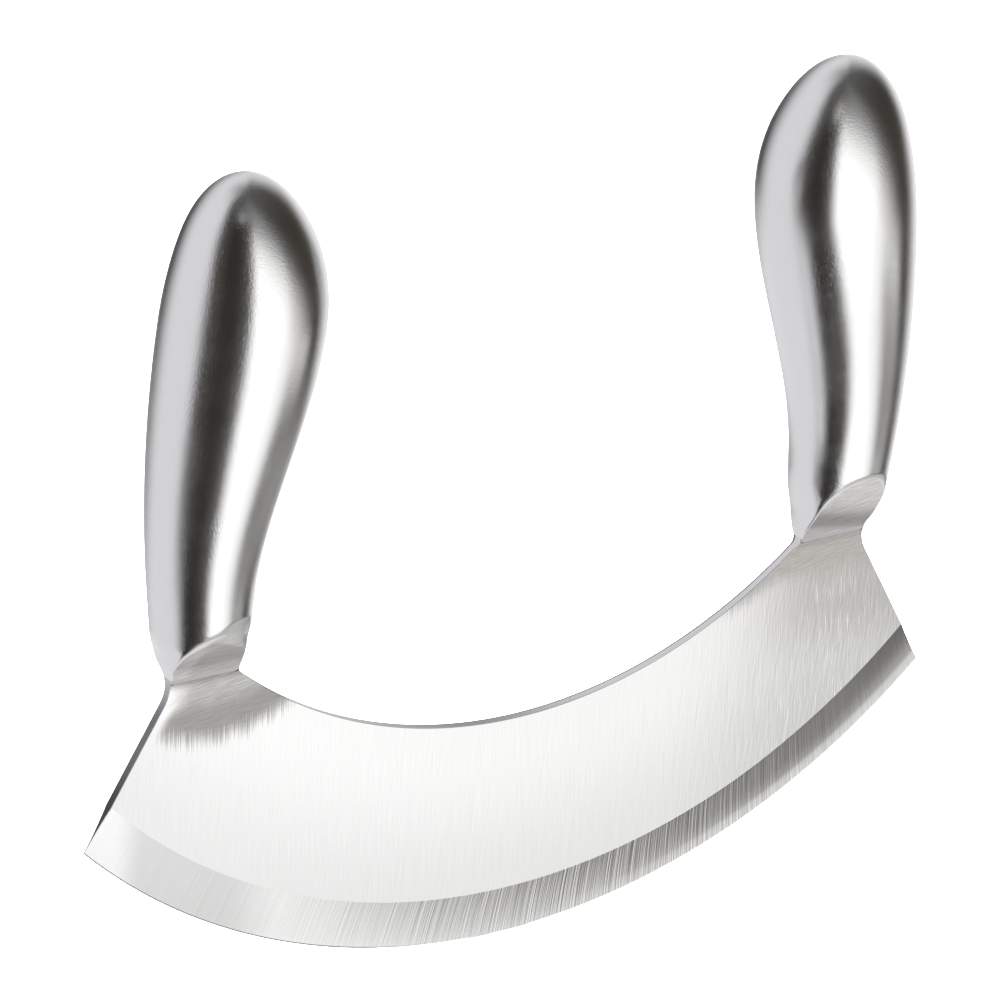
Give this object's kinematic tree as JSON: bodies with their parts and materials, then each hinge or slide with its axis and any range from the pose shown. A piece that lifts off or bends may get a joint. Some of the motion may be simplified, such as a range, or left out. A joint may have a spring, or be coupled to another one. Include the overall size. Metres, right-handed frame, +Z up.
{
  "type": "mezzaluna",
  "caption": "Two-handled mezzaluna: curved plate blade with a ground rocking edge, scooped bolsters and two hollow, swept steel grips",
  "frame": {"origin": "the lowest point of the cutting edge, under the middle of the blade", "axes": "X runs along the blade from tip to tip, Y is square to the plate, Z points up from the edge to the handles"},
  "size_m": [0.2, 0.0324, 0.1761],
  "materials": {
    "blade_steel": "fine upright grind on the faces, coarser slanted grind on the bevels",
    "bolster_steel": "belt ground across the scoops",
    "handle_steel": "satin, brushed round the grip, seams ground flush"
  },
  "bodies": {
    "root": {"blade": "blade_steel", "left_bolster": "bolster_steel", "right_bolster": "bolster_steel", "left_handle_front_shell": "handle_steel", "left_handle_back_shell": "handle_steel", "right_handle_front_shell": "handle_steel", "right_handle_back_shell": "handle_steel"}
  },
  "joints": []
}
